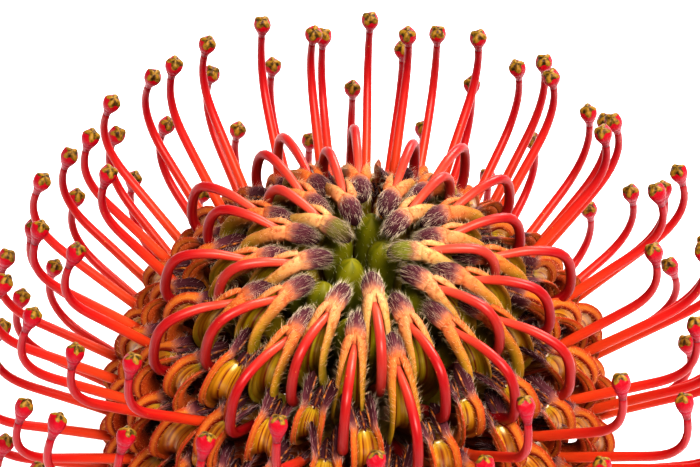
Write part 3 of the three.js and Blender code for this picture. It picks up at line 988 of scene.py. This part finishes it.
def held_tip(floret, line):
    """The egg of the four limbs, with its bristles."""
    whole = line_length(line)
    side = sideways(around[floret])
    lobes = np.cos(4 * HELD_TIP.angle)
    swell = held_swell(HELD_TIP.share) * (1 + LOBE_HEIGHT * lobes) * HELD_WIDTH / 2
    centre = at_lengths(line, np.linspace(whole - HELD_LENGTH, whole, HELD_TIP.rings))
    tangent = directions(centre)
    normal = line_normal(centre, side)
    centre = centre - normal * BEAK_RADIUS
    egg = part(HELD_TIP, carried_round(HELD_TIP, centre, side, swell), HELD_TIP.share, lobes, floret)

    where = rng.uniform(0.5, HELD_TIP.rings - 3.2, HELD_TUFT.count)
    facing = rng.uniform(-math.pi, math.pi, HELD_TUFT.count)
    low = where.astype(int)
    grip = held_swell(where / (HELD_TIP.rings - 1)) * HELD_WIDTH * 0.48
    out = np.cos(facing)[:, None] * side + np.sin(facing)[:, None] * normal[low]
    roots = between_rings(centre, where) + out * grip[:, None]
    lean = tangent[low] + out * rng.uniform(-0.05, 0.3, (HELD_TUFT.count, 1))
    lean = lean + rng.normal(0, 0.16, lean.shape)
    return [egg, tuft(HELD_TUFT, roots, lean, rng.uniform(*HELD_BRISTLES, HELD_TUFT.count), floret)]


# %% [markdown]
# A perianth is all the petals of one floret: beak and held tip on the looped ones, and gutter, ribbons,
# middle tip and free petal on the open ones. Both carry down, and the open ones a few grains of spilt
# pollen too.

# %% One floret's petals
def fuzzy_back(gutter, least_up, least_along):
    """The vertices on the back of a gutter where down may stand."""
    return np.flatnonzero((np.sin(GUTTER.angle) > least_up) & (gutter.values["along"] > least_along)
                          & (GUTTER.ring < GUTTER.rings - 1))


def perianth(floret):
    if floret < FIRST_OPEN:
        line = looped_line(floret)
        beak = looped_gutter(floret, line, line_length(line) - HELD_LENGTH + BEAK_OVERLAP)
        held = held_tip(floret, line)
        fuzzy = fuzzy_back(beak, -0.4, 0.68)
        return [beak, *held, down_on(beak, GUTTER, fuzzy, BEAK_TUFT, BEAK_DOWN, floret)]
    gutter, line, roll_start, roll_end = open_gutter(floret)
    down = down_on(gutter, GUTTER, fuzzy_back(gutter, 0.1, 0.6), DOWN_TUFT, SHORT_DOWN, floret)
    grains = grains_on(POLLEN_GRAINS, gutter, 0.7, floret)
    margins = [organ for lane in (-1, 1) for organ in margin_ribbon(floret, line, roll_start, roll_end, lane)]
    return [gutter, *margins, *middle_tip(floret, line, roll_end), free_petal(floret), down, grains]


# %% [markdown]
# The petals of one spiral row are one piece, as in the construction, so that it takes the place of the
# same row there. The function below makes the 21 rows, and it serves the styles later on.

# %% Make the petal rows
def make_rows(name, organs_of, replaced, slot):
    for row in range(SPIRAL_ROWS):
        members = range(CLOSED_BUDS + row, FLORETS, SPIRAL_ROWS)
        organs = [organ for floret in members for organ in organs_of(floret)]
        label = f"{row + 1:02d}"
        piece = grown(name + label, organs, FLORET_FINISHES, replaced + label)
    print(slot, "rows:", SPIRAL_ROWS, "faces in the last one:", len(piece.data.polygons))


make_rows("petals_row_", perianth, "perianths_spiral_", "petal")

# %% [markdown]
# A free style leaves the petals in its root's direction, bends to its launch direction, which leans
# further over on the lower florets, and then hooks upwards. The walk follows the construction's path,
# but the hook is tighter and the style a little longer, as on the real flower, so that each knob stands
# within a few millimetres of its solid. A looped style bulges out and comes back into the beak of its
# petals.

# %% Style lines
STYLE_FOOT_RADIUS = 22 * MM
SHORTEST_STYLE = 51 * MM
LONGEST_STYLE = 56.5 * MM
STYLE_WOBBLE = 0.03
UPPER_LAUNCH = math.radians(44)
LOWER_LAUNCH = math.radians(66)
LAUNCH_WOBBLE = math.radians(3)
MOST_BENT = math.radians(31)
LAUNCHING_LENGTH = 7 * MM
HOOK_START = 0.5
HOOK_MARGIN = 3 * MM
HOOK_FINISH = math.radians(-16)
FINISH_WOBBLE = math.radians(7)
SWAY = math.radians(8)
PATH_STEPS = 40
STYLE_RADIUS = 0.72 * MM
KNOB_LENGTH = 4.3 * MM
KNOB_RADIUS = 1.32 * MM


def pin_line(floret):
    root = polar[floret]
    start = TUBE_TOP_RADIUS - RECEPTACLE_RADIUS
    typical = mix(SHORTEST_STYLE, LONGEST_STYLE, smoothstep(root, 50 * ONE_DEGREE, 80 * ONE_DEGREE))
    length = typical * (1 + STYLE_WOBBLE * wobble(floret, LENGTH))
    lean = mix(UPPER_LAUNCH, LOWER_LAUNCH, smoothstep(root, 45 * ONE_DEGREE, 95 * ONE_DEGREE))
    launch = max(lean + LAUNCH_WOBBLE * wobble(floret, LAUNCH), root - MOST_BENT)
    finish = HOOK_FINISH + FINISH_WOBBLE * wobble(floret, FINISH)
    sway = SWAY * wobble(floret, LEAN)
    share = (np.arange(PATH_STEPS) + 0.5) / PATH_STEPS
    walked = mix(start, length, share)
    launched = smoothstep(walked, start, start + LAUNCHING_LENGTH)
    hooked = smoothstep(walked, mix(start, length, HOOK_START), length - HOOK_MARGIN)
    climb = mix(mix(root, launch, launched), finish, hooked)
    top = place(TUBE_TOP_RADIUS, root, around[floret])
    foot = place(STYLE_FOOT_RADIUS, root, around[floret])
    stride = (length - start) / PATH_STEPS
    return np.vstack([foot, walked_line(top, climb, around[floret] + sway * share, stride)])


def loop_line(floret):
    root = polar[floret]
    height = mix(39.6, 42.6, smoothstep(root, 22 * ONE_DEGREE, 46 * ONE_DEGREE))
    entry = held_tip_angle(floret) + 7.2 * ONE_DEGREE
    span = root - entry
    return on_floret(floret, [
        (22, root), (30, 1.05 * root), (height - 5.5, 1.1 * root), (height - 1.5, entry + 0.95 * span),
        (height, entry + 0.68 * span), (mix(height, 37.6, 0.36), entry + 0.38 * span),
        (37.8, entry + 0.1 * span), (36.7, entry - 2.6 * ONE_DEGREE)])


# %% [markdown]
# The pollen presenter is the knob that carries the floret's own pollen. It swells from a narrow neck
# over a fine collar to its widest, and closes in a dome with four ridges. The profile is a short list
# of radii, and a cosine round the stalk raises the ridges only on the dome.

# %% Styles and pollen presenters
KNOB_STATIONS = np.array([0, 0.15, 0.28, 0.38, 0.42, 0.47, 0.56, 0.66, 0.75, 0.82, 0.88, 0.93, 0.97, 1.0])
KNOB_PROFILE = np.array([0.45, 0.52, 0.64, 0.78, 0.75, 0.85, 0.96, 1.0, 0.97, 0.89, 0.77, 0.6, 0.42, 0.05])
KNOB_RIDGES = 0.2
KNOB_LEAN = 0.18 * MM
STYLE_STOP = 0.93 * KNOB_LENGTH


def knob(floret, line, whole):
    stations = whole - KNOB_LENGTH * (1 - KNOB_STATIONS)
    share = KNOB_STATIONS[KNOB.ring]
    ridges = np.cos(4 * KNOB.angle + floret)
    dome = smoothstep(share, 0.7, 0.9)
    radius = KNOB_RADIUS * KNOB_PROFILE[KNOB.ring] * (1 + KNOB_RIDGES * ridges * dome)
    inwards = 0.06 * np.sin(KNOB.angle) * smoothstep(share, 0.5, 0.9)
    lean = KNOB_LEAN * smoothstep(share, 0.3, 1) * wobble(floret, TWIST)
    points = carried(KNOB, at_lengths(line, stations), sideways(around[floret]),
                     radius * np.cos(KNOB.angle) + lean, radius * np.sin(KNOB.angle))
    return part(KNOB, points, share + inwards, ridges, floret)


def pistil(floret):
    looped = floret < FIRST_OPEN
    line = loop_line(floret) if looped else pin_line(floret)
    whole = line_length(line)
    share = STYLE_STALK.share
    if looped:
        end = whole
        radius = STYLE_RADIUS * np.interp(share, [0, 0.4, 0.8, 0.92, 1], [1.05, 1.08, 0.98, 0.75, 0.3])
    else:
        end = whole - STYLE_STOP
        radius = STYLE_RADIUS * np.interp(share, [0, 0.3, 0.7, 0.92, 1], [1.15, 1.08, 0.98, 0.82, 0.78])
    centre = at_lengths(line, np.linspace(0, end, STYLE_STALK.rings))
    points = carried_round(STYLE_STALK, centre, sideways(around[floret]), radius)
    style = part(STYLE_STALK, points, share, np.cos(STYLE_STALK.angle), floret)
    grains = grains_on(STRAY_GRAINS, style, 0.4, floret)
    return [style, grains] if looped else [style, grains, knob(floret, line, whole)]


make_rows("styles_row_", pistil, "pistils_spiral_", "style")

# %% [markdown]
# The closed buds in the middle are whole florets that haven't parted. They are shorter than the
# looped ones round them, so from above they make the smooth olive-green ground between the dark petal
# tips. The template of a stalk fits them, with four shallow lobes for the four petals.

# %% Closed buds
BUD_TEMPLATE = stalk_template("bud_template", 16, 20, 0)
BUD_TUFT = crowd_template("bud_bristles_template", spike, 60, 1)
BUD_TOP_RADIUS_MM = 33.2
BUD_LOBES = 0.03
BUD_BRISTLES = (0.4 * MM, 1.1 * MM)
# Painted shade: the darker green that fills the grooves between a bud's four lobes.
GROOVE_SHADE_GREEN = (0.11, 0.11, 0.001)
BLOTCH_OLIVE = (0.19, 0.16, 0.003)


def bud_finish():
    finish = new_finish("closed_bud", 0.55, Specular_IOR_Level=0.25, Subsurface_Weight=0.15,
                        Subsurface_Radius=(0.5, 0.6, 0.1), Subsurface_Scale=1 * MM)
    ground = ramp(finish, attribute(finish, "along"), [
        (0.0, (0.08, 0.085, 0.001)), (0.8, (0.16, 0.15, 0.002)), (0.93, (0.17, 0.155, 0.002)),
        (1.0, (0.20, 0.17, 0.004))])
    # Painted shade in the grooves: the lobes keep the ground colour and the grooves turn darker green.
    shade = between(finish, "across", -1.0, 0.2)
    groove_shaded = blended(finish, shade, GROOVE_SHADE_GREEN, ground)
    blotches = contrast(finish, noise(finish, 420), 0.45, 0.75)
    coloured(finish, blended(finish, blotches, groove_shaded, BLOTCH_OLIVE))
    bumped(finish, noise(finish, 1800), 0.35, 0.08 * MM)
    return finish.material


def closed_bud(floret):
    root = polar[floret]
    line = on_floret(floret, [
        (11.4, root), (20, 0.98 * root), (26, 0.95 * root), (30, 0.88 * root),
        (BUD_TOP_RADIUS_MM, 0.76 * root)])
    centre = at_lengths(line, np.linspace(0, line_length(line), BUD_TEMPLATE.rings))
    share = BUD_TEMPLATE.share
    lobes = np.cos(4 * BUD_TEMPLATE.angle)
    swell = np.interp(share, [0, 0.4, 0.65, 0.83, 0.9, 0.95, 1], [0.5, 1.4, 2.2, 2.3, 2.0, 1.4, 0.1])
    radius = swell * (1 + BUD_LOBES * lobes) * MM
    points = carried_round(BUD_TEMPLATE, centre, sideways(around[floret]), radius)
    club = part(BUD_TEMPLATE, points, share, lobes, floret)
    upper = rng.choice(np.flatnonzero((share > 0.75) & (share < 0.99)), BUD_TUFT.count)
    tangent = directions(centre)[BUD_TEMPLATE.ring[upper]]
    out = unit(points[upper] - centre[BUD_TEMPLATE.ring[upper]])
    lean = tangent + out * rng.uniform(0.2, 0.8, (BUD_TUFT.count, 1)) + rng.normal(0, 0.15, out.shape)
    return [club, tuft(BUD_TUFT, points[upper], lean, rng.uniform(*BUD_BRISTLES, BUD_TUFT.count), floret)]


BUD_HAIR = (0.80, 0.76, 0.56)
bud_finishes = [bud_finish(), hair_finish("bud_hair", (0.40, 0.38, 0.2), BUD_HAIR, BUD_HAIR)]
buds = [organ for floret in range(CLOSED_BUDS) for organ in closed_bud(floret)]
bud_piece = grown("closed_buds_in_the_middle", buds, bud_finishes, "closed_buds")
print("closed buds:", CLOSED_BUDS, "faces:", len(bud_piece.data.polygons))

# %% [markdown]
# The bracts are small leathery scales under the head, in two whorls. Each is a wide, shallow gutter
# that bends outwards to a point, red-brown with paler margins, and fringed with silky hairs. They are
# out of sight from above, and show when the flower is seen from the side or from below.

# %% Bracts
FULL_TURN = 2 * math.pi
UPPER_WHORL = SimpleNamespace(count=8, path=[(6.4, 8.9), (7.9, 11.0), (9.8, 13.4), (12.4, 15.2)],
                              widths=[3.4, 4.8, 5.4, 0.5])
LOWER_WHORL = SimpleNamespace(count=5, path=[(5.75, 4.4), (6.7, 6.5), (8.3, 8.3), (9.9, 9.4)],
                              widths=[3.6, 5.0, 4.6, 0.5])
BRACT_HALF_THICKNESS = 0.42 * MM
BRACT_HOLLOW = 0.5 * MM
FRINGE_LENGTHS = (0.5 * MM, 1.1 * MM)
PALE_MARGIN = (0.50, 0.38, 0.20)
BRACT_VEIN = (0.17, 0.07, 0.035)
SCALE_TEMPLATE = stalk_template("bract_template", 16, 16, 0)
FRINGE_TUFT = crowd_template("bract_fringe_template", spike, 70, 1)


def bract_finish():
    finish = new_finish("bract", 0.7, Sheen_Weight=0.3, Sheen_Roughness=0.4)
    ground = ramp(finish, attribute(finish, "along"), [
        (0.0, (0.30, 0.22, 0.07)), (0.5, (0.34, 0.13, 0.06)), (1.0, (0.20, 0.06, 0.035))])
    edge = times(finish, math_node(finish, "POWER", to_either_side(finish), 4), 0.6)
    margined = blended(finish, edge, ground, PALE_MARGIN)
    veins = contrast(finish, streaks(finish, 8), 0.45, 0.7)
    coloured(finish, blended(finish, veins, margined, BRACT_VEIN))
    bumped(finish, streaks(finish, 12), 0.6, 0.15 * MM)
    return finish.material


def bract(whorl, k):
    azimuth = FULL_TURN * k / whorl.count
    stops = np.array([(r * math.cos(azimuth), r * math.sin(azimuth), z) for r, z in whorl.path]) * MM
    line = smooth_line(stops)
    centre = at_lengths(line, np.linspace(0, 1, SCALE_TEMPLATE.rings) * line_length(line))
    side = sideways(azimuth)
    share = SCALE_TEMPLATE.share
    spread = np.cos(SCALE_TEMPLATE.angle)
    foot, lower, widest, tip = whorl.widths
    width = np.interp(share, [0, 0.3, 0.66, 0.88, 1], [foot, lower, widest, 0.55 * widest, tip]) * MM
    bowl = BRACT_HOLLOW * spread ** 2 * np.sin(np.pi * share)
    points = carried(SCALE_TEMPLATE, centre, side, width / 2 * spread,
                     BRACT_HALF_THICKNESS * np.sin(SCALE_TEMPLATE.angle) + bowl)
    scale = part(SCALE_TEMPLATE, points, share, spread, k)
    chosen = rng.choice(np.flatnonzero((np.abs(spread) > 0.9) & (share > 0.25)), FRINGE_TUFT.count)
    tangent = directions(centre)[SCALE_TEMPLATE.ring[chosen]]
    out = np.sign(spread[chosen])[:, None] * side
    lean = tangent + out * rng.uniform(0.3, 0.9, (FRINGE_TUFT.count, 1)) + rng.normal(0, 0.15, out.shape)
    roots = points[chosen] + tangent * rng.uniform(-0.4, 0.4, (FRINGE_TUFT.count, 1)) * MM
    return [scale, tuft(FRINGE_TUFT, roots, lean, rng.uniform(*FRINGE_LENGTHS, FRINGE_TUFT.count), k)]


FRINGE_HAIR = (0.82, 0.74, 0.6)
bract_finishes = [bract_finish(), hair_finish("bract_fringe", (0.45, 0.3, 0.18), FRINGE_HAIR, FRINGE_HAIR)]
bract_number = 0
for whorl in (UPPER_WHORL, LOWER_WHORL):
    for k in range(whorl.count):
        bract_number += 1
        label = f"{bract_number:02d}"
        grown("bract_" + label, bract(whorl, k), bract_finishes, "involucral_bract_" + label)
print("bracts:", bract_number)

# %% [markdown]
# Stem and receptacle are one grown piece, turned like a vase round its axis: a downy green stem with
# reddish flecks that flares into the woody ball that carries the florets. A spin of its half outline
# makes it, and small bulges by a sum of sines keep it from looking machined. The cut face below shows
# bark, wood and a darker pith.

# %% Stem and receptacle
STEM_RADIUS = 4.8 * MM
STEM_SIDES = 48
STEM_OUTLINE_MM = [(4.8, 0.35), (4.8, 2.2), (4.85, 4.5), (5.3, 8), (6.6, 11), (8.6, 14.5)]
BALL_STEPS = 12
LOWEST_ON_BALL = math.radians(122)
PITH_RADIUS = 1.4 * MM
BARK = 0.5 * MM
CUT_BEVEL = 0.3 * MM
SLOW_BULGE = 0.012
QUICK_BULGE = 0.01
RED_FLECK = (0.26, 0.07, 0.035)
PALE_DOWN = (0.6, 0.55, 0.4)


def stem_finish():
    finish = new_finish("stem", 0.75, Sheen_Weight=0.25, Sheen_Roughness=0.4)
    ground = ramp(finish, attribute(finish, "along"), [
        (0.0, (0.20, 0.21, 0.07)), (0.3, (0.26, 0.24, 0.08)), (0.5, (0.30, 0.20, 0.08)),
        (1.0, (0.24, 0.15, 0.06))])
    flecks = times(finish, contrast(finish, noise(finish, 900), 0.52, 0.66), 0.7)
    flecked = blended(finish, flecks, ground, RED_FLECK)
    down = times(finish, contrast(finish, noise(finish, 4000), 0.55, 0.8), 0.5)
    coloured(finish, blended(finish, down, flecked, PALE_DOWN))
    bumped(finish, noise(finish, 1400), 0.6, 0.2 * MM)
    return finish.material


def cut_finish():
    finish = new_finish("cut_wood", 0.6)
    coloured(finish, ramp(finish, attribute(finish, "across"), [
        (0.0, (0.34, 0.24, 0.10)), (0.28, (0.40, 0.30, 0.13)), (0.34, (0.66, 0.58, 0.34)),
        (0.85, (0.60, 0.55, 0.30)), (0.93, (0.25, 0.28, 0.08)), (1.0, (0.16, 0.12, 0.05))]))
    bumped(finish, noise(finish, 2200), 0.5, 0.1 * MM)
    return finish.material


def stem_and_receptacle():
    flat = [(0, 0), (PITH_RADIUS, 0), (STEM_RADIUS - BARK, 0), (STEM_RADIUS - CUT_BEVEL, 0)]
    outline = [Vector((radius, 0, height)) for radius, height in flat]
    outline += [Vector((radius * MM, 0, height * MM)) for radius, height in STEM_OUTLINE_MM]
    for step in range(BALL_STEPS + 1):
        angle = LOWEST_ON_BALL * (1 - step / BALL_STEPS)
        foot = Vector((math.sin(angle), 0, math.cos(angle))) * RECEPTACLE_RADIUS
        outline.append(foot + Vector(HEAD_CENTRE))
    bm = bmesh.new()
    points = [bm.verts.new(point) for point in outline]
    edges = [bm.edges.new(pair) for pair in zip(points, points[1:])]
    bmesh.ops.spin(bm, geom=points + edges, cent=(0, 0, 0), axis=(0, 0, 1), angle=FULL_TURN,
                   steps=STEM_SIDES, use_merge=True)
    bmesh.ops.remove_doubles(bm, verts=bm.verts, dist=1e-6)
    bmesh.ops.recalc_face_normals(bm, faces=bm.faces)
    for face in bm.faces:
        face.smooth = True
        face.material_index = 1 if face.calc_center_median().z < 0.01 * MM else 0
    return bm


bm = stem_and_receptacle()
for vertex in bm.verts:
    x, y, z = vertex.co
    turn = math.atan2(y, x)
    bulge = SLOW_BULGE * math.sin(3 * turn + 300 * z) + QUICK_BULGE * math.sin(7 * turn - 700 * z)
    if z > 0.1 * MM:
        vertex.co.x *= 1 + bulge
        vertex.co.y *= 1 + bulge
stem_mesh = finished_mesh("stem_with_receptacle", bm)
stem_points = vertex_places(stem_mesh)
stem_values = {
    "along": stem_points[:, 2] / stem_points[:, 2].max(),
    "across": np.hypot(stem_points[:, 0], stem_points[:, 1]) / STEM_RADIUS,
    "age": np.zeros(len(stem_points)),
}
stem_shape = SimpleNamespace(mesh=stem_mesh, points=stem_points, values=stem_values)
stem = grown("stem_and_woody_base", [stem_shape], [stem_finish(), cut_finish()],
             "stem_and_receptacle")
print("stem faces:", len(stem.data.polygons))

# %% [markdown]
# The photo is a bright studio picture: a white ground that clips to pure white, soft light from all
# round, and one large softbox that draws the bright bands on the glossy petals. A pale floor, a white
# world and two area lights make the same light. The Standard view with its high contrast look keeps the
# reds strong and the hollows between the petals dark.

# %% Floor and light
FLOOR_SIZE = 4
FLOOR_GREY = (0.92, 0.92, 0.92, 1)
WHITE = (1, 1, 1, 1)
WORLD_LIGHT = 0.2
SOFTBOX_SIZE_MM = 320
bm = bmesh.new()
bmesh.ops.create_grid(bm, x_segments=1, y_segments=1, size=FLOOR_SIZE / 2)
floor_mesh = finished_mesh("floor", bm)
floor = bpy.data.objects.new("floor", floor_mesh)
bpy.context.scene.collection.objects.link(floor)
floor_finish = new_finish("floor", 0.9, Specular_IOR_Level=0.1, Emission_Strength=0.45)
floor_finish.shader.inputs["Base Color"].default_value = FLOOR_GREY
floor_finish.shader.inputs["Emission Color"].default_value = WHITE
floor_mesh.materials.append(floor_finish.material)
floor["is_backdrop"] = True

world = bpy.data.worlds.new("studio")
bpy.context.scene.world = world
world.use_nodes = True
world.node_tree.nodes["Background"].inputs["Color"].default_value = WHITE
world.node_tree.nodes["Background"].inputs["Strength"].default_value = WORLD_LIGHT


def softbox(name, place_mm, watts):
    data = bpy.data.lights.new(name, "AREA")
    data.shape = "DISK"
    data.size = SOFTBOX_SIZE_MM * MM
    data.energy = watts
    light = bpy.data.objects.new(name, data)
    bpy.context.scene.collection.objects.link(light)
    light.location = Vector(place_mm) * MM
    toward = Vector(HEAD_CENTRE) - light.location
    light.rotation_euler = toward.to_track_quat("-Z", "Y").to_euler()


softbox("key", (110, -240, 600), 6.2)
softbox("back", (250, 550, 450), 5)
scene = bpy.context.scene
scene.view_settings.view_transform = "Standard"
scene.view_settings.look = "High Contrast"
print("lights set")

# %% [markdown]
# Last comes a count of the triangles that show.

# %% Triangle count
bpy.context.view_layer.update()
triangles = sum(len(polygon.vertices) - 2 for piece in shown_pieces() for polygon in piece.data.polygons)
print("triangles:", triangles)
